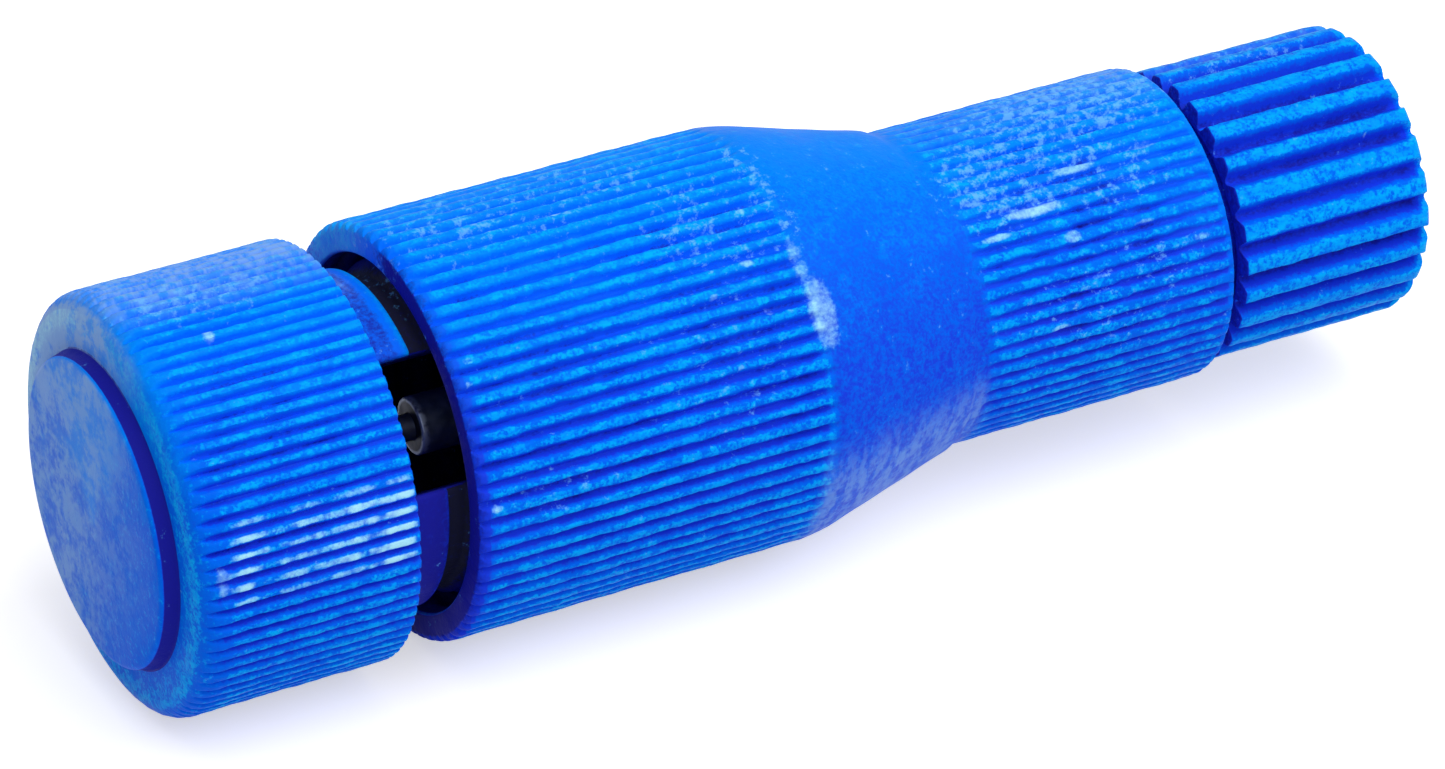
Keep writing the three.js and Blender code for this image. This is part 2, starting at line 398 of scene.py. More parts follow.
def stem_radius(x, r, theta):
    """Thread on the stem between the relief behind the shoulder and the chamfer at its end."""
    start = SHOULDER_END_X + THREAD_LEAD
    rise = smooth_step(start, start + THREAD_RISE, x)
    fade = smooth_step(STEM_END_X - THREAD_RISE, STEM_END_X, x)
    run = rise * (1 - fade)
    return np.where(x > start, r - TAP_THREAD.depth * (1 - thread_height(TAP_THREAD, x, theta)) * run, r)


def stem_section(x, r, side):
    """Points of half the stem's section: the slot's flat, an eased edge, the arc and the other edge."""
    centre_q = SLOT_HALF + SLOT_EDGE
    centre_p = math.sqrt((r - SLOT_EDGE) ** 2 - centre_q ** 2)
    bend = math.atan2(centre_q, centre_p)
    quarter = math.pi / 2
    section = []
    for k in range(STEM_FLAT_STEPS + 1):
        section.append((-centre_p + 2 * centre_p * k / STEM_FLAT_STEPS, SLOT_HALF))
    for k in range(1, STEM_EDGE_STEPS):
        angle = -quarter + (bend + quarter) * k / STEM_EDGE_STEPS
        section.append((centre_p + SLOT_EDGE * math.cos(angle), centre_q + SLOT_EDGE * math.sin(angle)))
    for k in range(STEM_ARC_STEPS + 1):
        angle = bend + (math.pi - 2 * bend) * k / STEM_ARC_STEPS
        turn = angle - SLOT_TURN + (math.pi if side < 0 else 0)
        radius = float(stem_radius(np.array(x), np.array(r), np.array(turn)))
        section.append((radius * math.cos(angle), radius * math.sin(angle)))
    for k in range(1, STEM_EDGE_STEPS):
        angle = math.pi - bend + (bend + quarter) * k / STEM_EDGE_STEPS
        section.append((-centre_p + SLOT_EDGE * math.cos(angle), centre_q + SLOT_EDGE * math.sin(angle)))
    return section


def stem_half(side):
    """One half of the slotted stem: sections with a flat towards the slot, lofted along X."""
    relief_end = SHOULDER_END_X + RELIEF_LENGTH
    corners = [
        Corner(HEAD_END_X - STEM_INSET, STEM_RADIUS, step=RIB_STEP),
        Corner(SHOULDER_END_X, STEM_RADIUS, SHOULDER_EDGE),
        Corner(SHOULDER_END_X, STEM_ROOT_RADIUS, EASED),
        Corner(relief_end, STEM_ROOT_RADIUS, SLIGHT),
        Corner(relief_end + THREAD_RISE, STEM_RADIUS, SLIGHT, step=THREAD_STEP),
        Corner(STEM_END_X - STEM_CHAMFER, STEM_RADIUS, SLIGHT),
        Corner(STEM_END_X, STEM_RADIUS - STEM_CHAMFER),
    ]
    stations = outline(corners)
    vertices = []
    for x, r in stations:
        for p, q in stem_section(x, r, side):
            y = side * (p * math.cos(SLOT_TURN) + q * math.sin(SLOT_TURN))
            z = side * (-p * math.sin(SLOT_TURN) + q * math.cos(SLOT_TURN))
            vertices.append((x, y, z))
    ring = len(vertices) // len(stations)
    faces = []
    for i in range(len(stations) - 1):
        for j in range(ring):
            k = (j + 1) % ring
            low, high = i * ring, (i + 1) * ring
            faces.append((low + j, low + k, high + k, high + j))
    faces.append(tuple(range(ring)))
    faces.append(tuple((len(stations) - 1) * ring + j for j in range(ring)))
    half = new_piece("stem_half", vertices, faces)
    face_outwards(half)
    return half


def fuse(piece, others):
    """Joins other closed solids to a piece and applies the result."""
    for other in others:
        join = piece.modifiers.new("join", "BOOLEAN")
        join.operation = "UNION"
        join.solver = "MANIFOLD"
        join.object = other
    graph = bpy.context.evaluated_depsgraph_get()
    mesh = bpy.data.meshes.new_from_object(piece.evaluated_get(graph))
    piece.modifiers.clear()
    piece.data = mesh
    for other in others:
        bpy.data.objects.remove(other)


def tap_cap():
    """Head and slotted stem as one moulding."""
    cap = cap_head()
    cap.name = "tap_cap_moulding"
    face_outwards(cap)
    fuse(cap, [stem_half(1), stem_half(-1)])
    return cap


# Body

def nose_shape(x, r, theta):
    """Thread on the nose, rising behind its relief and running out at its end."""
    start = SMALL_END_X + NOSE_RELIEF + SLIGHT
    rise = smooth_step(start, start + NOSE_RELIEF, x)
    fade = smooth_step(NOSE_END_X - THREAD_RISE, NOSE_END_X - SLIGHT, x)
    return r - NOSE_THREAD.depth * (1 - thread_height(NOSE_THREAD, x, theta)) * rise * (1 - fade)


def bore_shape(x, r, theta):
    """Thread in the wide bore, between its mouth and the blend into its floor."""
    rise = smooth_step(BODY_X + THREAD_RISE, BODY_X + 2 * THREAD_RISE, x)
    fade = smooth_step(BORE_FLOOR_X - 2 * THREAD_RISE, BORE_FLOOR_X - THREAD_RISE, x)
    return r + TAP_BORE_THREAD.depth * (1 - thread_height(TAP_BORE_THREAD, x, theta)) * rise * (1 - fade)


def body_shape(x, r, theta):
    """Ribs of both barrels, a slightly wavy neck, and the threads of the nose and the wide bore."""
    before, beyond = BODY_X - 1, SMALL_END_X + 1
    big = ribbed(BIG_RADIUS, BIG_RIBS, BIG_SEEDS, x, r, theta, before, BIG_RIBS_END_X, BIG_RUN_IN)
    small = ribbed(SMALL_RADIUS, SMALL_RIBS, SMALL_SEEDS, x, r, theta, SMALL_RIBS_X, beyond, SMALL_RUN_IN)
    neck = r - NECK_WAVE + NECK_WAVE * ripple(NECK_SEED, x, theta)
    big_end = BIG_RIBS_END_X + RUN_OUT
    small_start = SMALL_RIBS_X - RUN_OUT
    on_big = (r > BIG_FACE_RADIUS - ROOM) & (x < big_end)
    on_small = (r > SMALL_RADIUS - SMALL_ROOM) & (x > small_start)
    on_neck = (x >= big_end) & (x <= small_start) & (r > SMALL_RADIUS - RUN_OUT)
    on_nose = (r > NOSE_ROOT_RADIUS + ROOM) & (x > SMALL_END_X + NOSE_RISE) & (r < NOSE_RADIUS + SLIGHT)
    in_bore = (np.abs(r - BORE_RADIUS) < SLIGHT) & (x < BORE_FLOOR_X)
    shapes = [big, neck, small, nose_shape(x, r, theta), bore_shape(x, r, theta)]
    return np.select([on_big, on_neck, on_small, on_nose, in_bore], shapes, r)


def body():
    """Big barrel with its bore, neck, small barrel and nose, drilled for the contact."""
    relief_end = SMALL_END_X + NOSE_RELIEF
    corners = [
        Corner(BODY_X, BORE_RADIUS, MOUTH_EDGE),
        Corner(BODY_X, BIG_RADIUS, BIG_RADIUS - BIG_FACE_RADIUS, BIG_CORNER_LENGTH, step=RIB_STEP),
        Corner(NECK_X, BIG_RADIUS, NECK_BLEND, step=RIB_STEP),
        Corner(NECK_END_X, SMALL_RADIUS, NECK_BLEND, step=RIB_STEP),
        Corner(SMALL_END_X, SMALL_RADIUS, SMALL_CORNER),
        Corner(SMALL_END_X, NOSE_ROOT_RADIUS, SLIGHT),
        Corner(relief_end, NOSE_ROOT_RADIUS, SLIGHT),
        Corner(relief_end + NOSE_RISE, NOSE_RADIUS, SLIGHT, step=THREAD_STEP),
        Corner(NOSE_END_X, NOSE_RADIUS, NOSE_CORNER),
        Corner(NOSE_END_X, ROD_BORE_RADIUS, SLIGHT),
        Corner(BORE_FLOOR_X, ROD_BORE_RADIUS, SLIGHT),
        Corner(BORE_FLOOR_X, BORE_RADIUS, BORE_FILLET, step=THREAD_STEP),
    ]
    return turned("body_moulding", outline(corners, closed=True), BODY_SIDES, body_shape, closed=True)


# Contact core

def contact_core():
    """Needle with its blunt shank, flange, rod and cone."""
    corners = [
        Corner(NEEDLE_TIP_X, POINT_FLAT_RADIUS),
        Corner(NEEDLE_POINT_X, NEEDLE_RADIUS, SOFT),
        Corner(SHANK_X, NEEDLE_RADIUS, KEEN),
        Corner(SHANK_X, SHANK_RADIUS - SHANK_EDGE),
        Corner(SHANK_X, SHANK_RADIUS, SHANK_EDGE / 2, step=RIB_STEP),
        Corner(FLANGE_X, SHANK_RADIUS, SOFT),
        Corner(FLANGE_X, FLANGE_RADIUS, EASED),
        Corner(FLANGE_END_X, FLANGE_RADIUS, EASED),
        Corner(FLANGE_END_X, ROD_RADIUS, SLIGHT),
        Corner(CONE_X, ROD_RADIUS, EASED),
        Corner(CONE_END_X, CONE_TIP_RADIUS, SOFT),
        Corner(CONE_END_X, CONE_DIMPLE_RADIUS),
    ]
    return turned("plated_contact", outline(corners), CORE_SIDES, plain)


# Wire cap

def wire_cap_shape(x, r, theta):
    """Coarse ribs outside and the thread inside."""
    start, end = WIRE_CAP_X - 1, WIRE_CAP_END_X + 1
    ribs = ribbed(WIRE_CAP_RADIUS, WIRE_RIBS, WIRE_SEEDS, x, r, theta, start, end, BIG_RUN_IN)
    run = window(x, WIRE_CAP_X + THREAD_RISE, WIRE_BORE_END_X - THREAD_RISE, SMALL_RUN_IN)
    bore = r + CAP_BORE_THREAD.depth * (1 - thread_height(CAP_BORE_THREAD, x, theta)) * run
    outside = r > WIRE_BORE_RADIUS + SLIGHT
    in_bore = (np.abs(r - WIRE_BORE_RADIUS) < CRISP) & (x < WIRE_BORE_END_X)
    return np.select([outside, in_bore], [ribs, bore], r)


def wire_cap():
    """Cap with its bore, the tapered seat that clamps the strands, and a flared wire hole."""
    corners = [
        Corner(WIRE_CAP_X, WIRE_BORE_RADIUS, WIRE_MOUTH_EDGE),
        Corner(WIRE_CAP_X, WIRE_CAP_RADIUS, WIRE_CAP_RIM, step=RIB_STEP),
        Corner(WIRE_CAP_END_X, WIRE_CAP_RADIUS, WIRE_CAP_CORNER),
        Corner(WIRE_CAP_END_X, WIRE_HOLE_RADIUS + WIRE_HOLE_FLARE, SLIGHT),
        Corner(WIRE_CAP_END_X - WIRE_HOLE_FLARE, WIRE_HOLE_RADIUS, SLIGHT),
        Corner(SEAT_END_X, WIRE_HOLE_RADIUS, CRISP),
        Corner(WIRE_BORE_END_X, SEAT_RADIUS, SLIGHT),
        Corner(WIRE_BORE_END_X, WIRE_BORE_RADIUS, SLIGHT, step=THREAD_STEP),
    ]
    points = outline(corners, closed=True, ease_steps=ROUND_STEPS)
    return turned("wire_cap_moulding", points, WIRE_CAP_SIDES, wire_cap_shape, closed=True)


# Where each point of a moulding lies, for its colour

# Shares of colour are placed by the station and by the fall: the angle in degrees from the far
# upper side of the connector, over its near side, to its underside
FAR_SIDE = math.radians(214.2)


def coordinates(piece):
    """Station, radius and fall of each point, in millimetres and degrees, and its normal."""
    count = len(piece.data.vertices)
    flat = np.empty(count * 3)
    piece.data.vertices.foreach_get("co", flat)
    co = flat.reshape(-1, 3)
    co = (co - np.array([START_X, 0, AXIS_Z])) / MM
    normal = np.empty(count * 3)
    piece.data.vertices.foreach_get("normal", normal)
    radius = np.hypot(co[:, 1], co[:, 2])
    theta = np.arctan2(-co[:, 1], -co[:, 2]) % TAU
    fall = np.degrees((FAR_SIDE - theta + math.pi / 2) % TAU) - 90
    return co[:, 0], radius, fall, normal.reshape(-1, 3)


def write_share(piece, name, values):
    layer = piece.data.attributes.new(name, "FLOAT", "POINT")
    layer.data.foreach_set("value", np.clip(values, 0, INSIDE_DEPTH).astype(np.float32))


# A place of flecks, of wear or of a painted glint: its middle, its half length along X and half width round
# the turn in millimetres, and its strength, which is full within its core, a share of those halves
Patch = namedtuple("Patch", "x fall length width strength")
PATCH_CORE = 0.35


def patches(places, x, r, fall):
    """The strongest of the patches at each point."""
    total = np.zeros_like(x)
    for patch in places:
        across = np.radians(fall - patch.fall) * r / patch.width
        reach = np.hypot((x - patch.x) / patch.length, across)
        total = np.maximum(total, patch.strength * (1 - smooth_step(PATCH_CORE, 1, reach)))
    return total


# Shares of depth, which set painted shade: smooth plastic lies between a crest, 0, and a groove, 1. The
# shaded shoulder, the seams and the barrels' mouths are painted darker still, and the inside of the barrels
# is painted darkest, as shade
RING_DEPTH = 0.1
SMOOTH_DEPTH = 0.3
RIM_DEPTH = 1.3
SHADED_DEPTH = 1.5
SLOT_DEPTH = 1.7
MOUTH_DEPTH = 1.75
SHOULDER_DEPTH = 1.9
SEAM_DEPTH = 2.0
RELIEF_DEPTH = 2.8
INSIDE_DEPTH = 3.0

# Where and by how much a shade changes, by stations and falls
FACE_FALLS = (12, 45)  # a face turns from the light here
SHOULDER_LIGHT = 1.4  # how much lighter the shoulder's edge is
SHOULDER_LIT_X = 8.55  # its light begins here
SHOULDER_FALLS = (75, 105)  # and is gone over these falls
NECK_SHADE = 0.3  # how much darker the neck is lower down
NECK_FALLS = (32, 62)
WIRE_SHADE = 1.2  # how much darker the grooves of the wire cap are
WALL_START = 0.7  # the disc's wall begins at this share of its edge
MOUTH_SHADE_X = (BODY_X + 0.6, BODY_X + 3)
STEM_SHADE_X = (9.9, 10.7)

# How close a point's station is to a face that it lies on, and room round the surfaces that are shaded
ON_FACE = 0.02
BARREL_ROOM = 0.6
THREAD_ROOM = 0.3
RIB_TAIL = 0.3
CORNER_LEEWAY = 0.03


def from_face(fall, shade):
    """This shade on the sides of a face that points away from the light, 0 on its far upper side."""
    return shade * smooth_step(*FACE_FALLS, np.abs(fall))


def tap_cap_depth(x, r, fall, share):
    """Ribs and rounded corner of the head, its ring, the disc's wall and the shoulder with painted shade,
    and the stem.
    """
    corner = RING_X + HEAD_CORNER
    outside = r > HEAD_RADIUS - BARREL_ROOM
    share = np.where((x > corner) & (x <= HEAD_END_X) & outside, (HEAD_RADIUS - r) / HEAD_RIBS.depth, share)
    arc_x = np.clip(corner - x, 0, HEAD_CORNER)
    arc = HEAD_RADIUS - HEAD_CORNER + np.sqrt(np.maximum(HEAD_CORNER ** 2 - arc_x ** 2, 0))
    sunk = (arc - r - CORNER_LEEWAY) / HEAD_RIBS.depth
    share = np.where((x > RING_X + SLIGHT) & (x <= corner) & outside, np.maximum(sunk, SMOOTH_DEPTH), share)
    ring = (np.abs(x - RING_X) < SLIGHT) & (r > DISC_FOOT_RADIUS + SLIGHT)
    share = np.where(ring, RING_DEPTH, share)
    shoulder = (x > HEAD_END_X + ON_FACE) & (x < SHOULDER_END_X) & (r < STEM_RADIUS + CRISP)
    lit = SHOULDER_LIGHT * smooth_step(SHOULDER_LIT_X, SHOULDER_END_X - ON_FACE, x)
    shaded = SHOULDER_LIGHT * smooth_step(*SHOULDER_FALLS, fall)
    share = np.where(shoulder, np.minimum(SHADED_DEPTH - lit + shaded, SHOULDER_DEPTH), share)
    # The disc's wall is painted dark as shade
    wall = (x > WALL_START * DISC_EDGE) & (x < RING_X + ON_FACE / 2)
    wall = wall & (r > DISC_RADIUS - EASED) & (r < DISC_FOOT_RADIUS + CRISP)
    return np.where(wall, SEAM_DEPTH, share)


def body_depth(x, r, fall, share):
    """Ribs of both barrels, the rim and the mouth of the big one with painted shade where they turn from the
    light, and the smooth neck painted darker lower down.
    """
    big = (x > BODY_X) & (x < BIG_RIBS_END_X + SLIGHT) & (r > BIG_RADIUS - BARREL_ROOM)
    rim = (BIG_RADIUS - BIG_FACE_RADIUS) * (1 - smooth_step(0, BIG_CORNER_LENGTH, x - BODY_X))
    share = np.where(big, (BIG_RADIUS - rim - r) / BIG_RIBS.depth, share)
    rim_share = from_face(fall, RIM_DEPTH) * (1 - smooth_step(SLIGHT, RUN_OUT, x - BODY_X))
    share = np.where(big & (x < BODY_X + RUN_OUT), np.maximum(share, rim_share), share)
    small = (x > SMALL_RIBS_X) & (x < SMALL_END_X - ROOM) & (r > SMALL_RADIUS - RUN_OUT)
    share = np.where(small, (SMALL_RADIUS - r) / SMALL_RIBS.depth, share)
    neck = (x > BIG_RIBS_END_X + RIB_TAIL) & (x < SMALL_RIBS_X) & (r > SMALL_RADIUS - SLIGHT)
    share = np.where(neck, SMOOTH_DEPTH + NECK_SHADE * smooth_step(*NECK_FALLS, fall), share)
    mouth = (np.abs(x - BODY_X) < ON_FACE) & (r > BORE_RADIUS) & (r < BIG_FACE_RADIUS + CRISP)
    return np.where(mouth, from_face(fall, SEAM_DEPTH), share)


def wire_cap_depth(x, r, share):
    """Ribs of the wire cap with painted shade in their grooves, and its face at the seam and the nose inside
    it painted dark as shade.
    """
    wire = (x > WIRE_CAP_X) & (r > WIRE_BORE_RADIUS + SOFT)
    corner_x = WIRE_CAP_END_X - WIRE_CAP_CORNER
    end = WIRE_CAP_RADIUS - WIRE_CAP_CORNER * smooth_step(corner_x, WIRE_CAP_END_X, x)
    share = np.where(wire, WIRE_SHADE * (end - r) / WIRE_RIBS.depth, share)
    cap_face = (np.abs(x - WIRE_CAP_X) < ON_FACE) & (r > WIRE_BORE_RADIUS)
    nose = (x > SMALL_END_X) & (r < WIRE_BORE_RADIUS + SLIGHT) & (x < WIRE_CAP_END_X - RUN_OUT)
    return np.where(nose | cap_face, SHADED_DEPTH, share)


def inner_depth(x, r, share):
    """Painted shade on the stem behind its shoulder, lighter where it shows only unscrewed, and in the wide
    bore.
    """
    stem = (x > SHOULDER_END_X - ON_FACE / 2) & (x < STEM_END_X + SLIGHT) & (r < STEM_RADIUS + CRISP)
    bore = (x > BODY_X + SLIGHT) & (x < NECK_X) & (r < BORE_RADIUS + THREAD_ROOM)
    inside = MOUTH_DEPTH + (INSIDE_DEPTH - MOUTH_DEPTH) * smooth_step(*MOUTH_SHADE_X, x)
    thread = RELIEF_DEPTH - (RELIEF_DEPTH - 1) * smooth_step(*STEM_SHADE_X, x)
    stem_share = np.where(r > STEM_ROOT_RADIUS - SLIGHT, thread, SLOT_DEPTH)
    return np.where(stem, stem_share, np.where(bore, inside, share))


def depth_share(x, r, fall):
    """0 on a rib's crest, 1 in a groove, and the other shares of depth where they belong; they set painted
    shade.
    """
    share = np.full_like(r, SMOOTH_DEPTH)
    share = tap_cap_depth(x, r, fall, share)
    share = body_depth(x, r, fall, share)
    share = wire_cap_depth(x, r, share)
    return inner_depth(x, r, share)


# Painted light: the grooves and the smooth plastic are lighter on the upper side, as if lit from above
TOP_FALL = 34  # the fall of the upper side, where the painted light is strongest
TOP_LIGHT_FALLS = (5, 82)  # the painted light fades over these falls, counted from there
WIRE_CAP_TOP_LIGHT = 0.1  # what the wire cap has of it

# Painted reflection on the far upper side, a pale sheen: its strength, the falls where it starts to fade and
# is gone, the stations between which it lies, and the length over which it fades there
Sheen = namedtuple("Sheen", "strength full none start end ease")
HEAD_SHEEN = Sheen(0.9, 22, 46, RING_X + 0.3, HEAD_END_X + 1, 0.5)
BIG_SHEEN = Sheen(0.1, 4, 34, BODY_X, NECK_X, 0.5)
SMALL_SHEEN = Sheen(1, 12, 46, NECK_END_X, SMALL_END_X, 0.3)
SMALL_SHEEN_LEAST = 0.25  # its strength at the neck
SMALL_SHEEN_GAIN = 0.4  # what it gains towards the wire cap
SMALL_SHEEN_X = (30, 36)
WIRE_SHEEN = 0.3
WIRE_FALLS = (6, 26)
BACK_FALLS = (-85, -45)  # the far upper side begins here

# Painted reflection and light on the flat end, paler upwards and darker towards the near side
END_FACING = (0.6, 0.95)  # how squarely a face points that way
DISC_SHEEN = 0.74  # strength in the disc's middle
DISC_GAIN_UP = 0.18  # gain for each millimetre upwards
DISC_LOSS_NEAR = 0.16  # loss for each millimetre towards the near side
RING_SHEEN = 1.9
RING_EDGE = 0.4  # how far round the ring's corner it reaches
RING_FALLS = (8, 66)

# Painted reflection of the floor under the neck
NECK_SHEEN = 0.85
NECK_SHEEN_EASE = 0.6
NECK_SHEEN_FROM = (124, 148)
NECK_SHEEN_TO = (205, 235)

# What a groove loses of its painted sheen, and of its wear and painted highlights
GROOVE_SHELTER = 0.4


def top_light_share(x, fall):
    """Painted light that lightens the grooves: most on the upper side, little on the wire cap."""
    lit_side = 1 - smooth_step(*TOP_LIGHT_FALLS, np.abs(fall - TOP_FALL))
    return lit_side * np.where(x > SMALL_END_X + SLIGHT, WIRE_CAP_TOP_LIGHT, 1)


def far_upper(fall, full, none):
    """1 on the far upper side up to this fall, fading to 0 at the other and round the back."""
    return (1 - smooth_step(full, none, fall)) * smooth_step(*BACK_FALLS, fall)


def upper_sheen(kind, x, fall):
    """Strength of one of the painted reflections on the far upper side at each point."""
    return kind.strength * far_upper(fall, kind.full, kind.none) * window(x, kind.start, kind.end, kind.ease)


def sheltered(depth):
    """1 on a crest, and what a groove keeps of its painted sheen, and of its wear and painted highlights."""
    return 1 - GROOVE_SHELTER * np.clip(depth, 0, 1)


def painted_sheen_share(x, r, fall, normal, depth):
    """Painted sheen, a pale painted reflection and light: on the tap cap's end, on the far upper side and
    under the neck.
    """
    up = r * np.cos(np.radians(fall))
    near = r * np.sin(np.radians(fall))
    faces_end = smooth_step(*END_FACING, -normal[:, 0]) * (x < RING_X + RING_EDGE)
    lit = DISC_SHEEN + DISC_GAIN_UP * up - DISC_LOSS_NEAR * near
    disc = faces_end * (r < DISC_RADIUS) * np.clip(lit, 0, 1)
    ring = RING_SHEEN * faces_end * (r > DISC_RADIUS) * far_upper(fall, *RING_FALLS)
    head = upper_sheen(HEAD_SHEEN, x, fall)
    big = upper_sheen(BIG_SHEEN, x, fall)
    neck = NECK_SHEEN * smooth_step(*NECK_SHEEN_FROM, fall) * (1 - smooth_step(*NECK_SHEEN_TO, fall))
    neck = neck * window(x, BIG_RIBS_END_X, NECK_END_X, NECK_SHEEN_EASE)
    small = SMALL_SHEEN_LEAST + SMALL_SHEEN_GAIN * smooth_step(*SMALL_SHEEN_X, x)
    small = small * upper_sheen(SMALL_SHEEN, x, fall)
    wire = WIRE_SHEEN * far_upper(fall, *WIRE_FALLS) * (x > WIRE_CAP_X)
    return np.max([disc, ring, head, big, neck, small, wire], axis=0) * sheltered(depth)


# Places with pale flecks
SPECKLED = [
    Patch(14.0, 30, 7.5, 3.2, 0.6), Patch(19.0, 55, 3.0, 3.5, 0.55), Patch(3.5, 34, 4.0, 1.6, 0.75),
    Patch(33.0, 30, 5.5, 3.4, 0.95), Patch(29.5, 60, 3.5, 2.6, 0.85), Patch(32.5, 66, 3.5, 2.0, 0.7),
    Patch(32.0, 112, 5.0, 2.6, 0.45), Patch(21.3, 50, 0.8, 4.0, 0.7), Patch(24.0, 40, 3.0, 2.5, 0.2),
    Patch(40.0, 20, 3.5, 1.5, 0.6), Patch(18.0, 95, 4.0, 4.0, 0.3), Patch(12.0, 118, 3.0, 1.0, 0.45),
]

# Places worn almost white, and places with painted glints on edges and crests
WORN_AND_GLINTING = [
    Patch(21.45, 90, 0.75, 1.9, 1.0), Patch(21.2, 76, 0.5, 1.5, 0.8), Patch(21.6, 150, 0.7, 1.2, 0.6),
    Patch(3.1, 51, 0.35, 0.5, 0.9), Patch(14.9, 40, 0.4, 0.3, 1.0), Patch(19.6, 72, 0.35, 0.3, 0.9),
    Patch(19.8, 86, 0.25, 0.3, 0.9), Patch(18.2, 79, 0.3, 0.2, 0.8), Patch(20.2, 57, 0.25, 0.25, 0.8),
    Patch(29.9, 75, 1.6, 0.4, 1.0), Patch(28.4, 81.5, 0.9, 0.2, 0.9), Patch(31.8, 64, 1.2, 0.3, 0.9),
    Patch(30.9, 88, 0.5, 0.35, 0.8), Patch(34.4, 62, 0.8, 0.25, 0.8), Patch(33.4, 90, 0.6, 0.2, 0.8),
    Patch(35.2, 100, 0.6, 0.2, 0.7), Patch(30.0, 119, 0.6, 0.2, 0.8), Patch(31.6, 104, 0.8, 0.15, 0.7),
    Patch(41.0, 40, 0.3, 0.15, 0.9), Patch(41.9, 80, 0.14, 0.14, 1.0), Patch(38.6, 123, 0.12, 0.12, 0.9),
    Patch(1.25, 117, 0.35, 0.9, 0.9), Patch(10.0, 118, 0.3, 0.2, 0.9), Patch(10.1, 78, 0.4, 0.2, 0.6),
    Patch(3.7, 128, 0.25, 0.4, 0.6), Patch(9.9, 84, 0.2, 0.2, 0.8), Patch(13.2, 104, 0.15, 0.5, 0.5),
]


# Strength of the painted highlights and wear: the painted highlight on the tap cap's ribs, the painted light
# on its ring's upper side and the single places, some worn and some painted glints
HIGHLIGHT_BAND = 1.1
HIGHLIGHT_AT_ENDS = 0.45  # what the ribs' ends have more
HIGHLIGHT_FALLS = (101, 127, 9)  # from, to and how softly it ends
HIGHLIGHT_END_EASE = 1.1
HIGHLIGHT_MIDDLE_X = (2.2, 5.6, 1.6)  # the ribs' middle: from, to and how softly it ends
HIGHLIGHT_DEPTHS = (0.03, 0.32)  # how far down a crest the painted highlight reaches
RING_HIGHLIGHT = 0.85
RING_HIGHLIGHT_FALLS = (5, 50)
PLACES_WEAR_AND_GLINT = 1.15


def highlight_and_wear_share(x, r, fall, depth):
    """Painted highlights and wear that show almost white: single places, some worn and some painted glints,
    painted light on the ring's upper side, and a painted highlight on the ribs on the near side of the cap.
    """
    at_ends = 1 - window(x, *HIGHLIGHT_MIDDLE_X)
    lit_and_worn = (HIGHLIGHT_BAND + HIGHLIGHT_AT_ENDS * at_ends) * window(fall, *HIGHLIGHT_FALLS)
    lit_and_worn = lit_and_worn * window(x, RING_X + 1, HEAD_END_X, HIGHLIGHT_END_EASE)
    crest = 1 - smooth_step(*HIGHLIGHT_DEPTHS, depth)
    on_ring = (np.abs(x - RING_X) < SLIGHT) & (r > DISC_FOOT_RADIUS + SLIGHT)
    ring = RING_HIGHLIGHT * far_upper(fall, *RING_HIGHLIGHT_FALLS) * on_ring
    places = PLACES_WEAR_AND_GLINT * patches(WORN_AND_GLINTING, x, r, fall) * sheltered(depth)
    return np.max([lit_and_worn * crest, ring, places], axis=0)


# Materials

def new_material(name):
    material = bpy.data.materials.new(name)
    material.use_nodes = True
    nodes = material.node_tree.nodes
    return material, nodes, material.node_tree.links, nodes["Principled BSDF"]


class Wiring:
    """Short calls for the nodes that the materials share."""

    def __init__(self, nodes, links):
        self.nodes = nodes
        self.links = links

    def millimetres(self):
        source = self.nodes.new("ShaderNodeTexCoord")
        scale = self.nodes.new("ShaderNodeMapping")
        scale.inputs["Scale"].default_value = (1 / MM,) * 3
        self.links.new(source.outputs["Object"], scale.inputs["Vector"])
        return scale.outputs["Vector"]

    def stretched(self, vector, along, across):
        scale = self.nodes.new("ShaderNodeMapping")
        scale.inputs["Scale"].default_value = (along, across, across)
        self.links.new(vector, scale.inputs["Vector"])
        return scale.outputs["Vector"]

    def share(self, name):
        node = self.nodes.new("ShaderNodeAttribute")
        node.attribute_name = name
        return node.outputs["Fac"]

    def noise(self, vector, grain):
        node = self.nodes.new("ShaderNodeTexNoise")
        node.inputs["Scale"].default_value = grain.scale
        node.inputs["Detail"].default_value = grain.detail
        node.inputs["Roughness"].default_value = grain.roughness
        self.links.new(vector, node.inputs["Vector"])
        return node.outputs["Fac"]

    def ramp(self, value, low, high, to_low=0, to_high=1):
        node = self.nodes.new("ShaderNodeMapRange")
        node.interpolation_type = "SMOOTHSTEP"
        node.inputs["From Min"].default_value = low
        node.inputs["From Max"].default_value = high
        node.inputs["To Min"].default_value = to_low
        node.inputs["To Max"].default_value = to_high
        self.links.new(value, node.inputs["Value"])
        return node.outputs["Result"]

    def maths(self, operation, first, second):
        node = self.nodes.new("ShaderNodeMath")
        node.operation = operation
        for socket, value in zip(node.inputs, (first, second)):
            if isinstance(value, (int, float)):
                socket.default_value = value
            else:
                self.links.new(value, socket)
        return node.outputs["Value"]

    def mix(self, share, first, second):
        node = self.nodes.new("ShaderNodeMix")
        node.data_type = "RGBA"
        node.clamp_factor = True
        self.links.new(share, node.inputs["Factor"])
        colours = [socket for socket in node.inputs if socket.type == "RGBA"]
        for socket, value in zip(colours, (first, second)):
            if isinstance(value, tuple):
                socket.default_value = (*value, 1)
            else:
                self.links.new(value, socket)
        return next(socket for socket in node.outputs if socket.type == "RGBA")

    def bump(self, height, strength, distance, below=None):
        node = self.nodes.new("ShaderNodeBump")
        node.inputs["Strength"].default_value = strength
        node.inputs["Distance"].default_value = distance * MM
        self.links.new(height, node.inputs["Height"])
        if below is not None:
            self.links.new(below, node.inputs["Normal"])
        return node.outputs["Normal"]


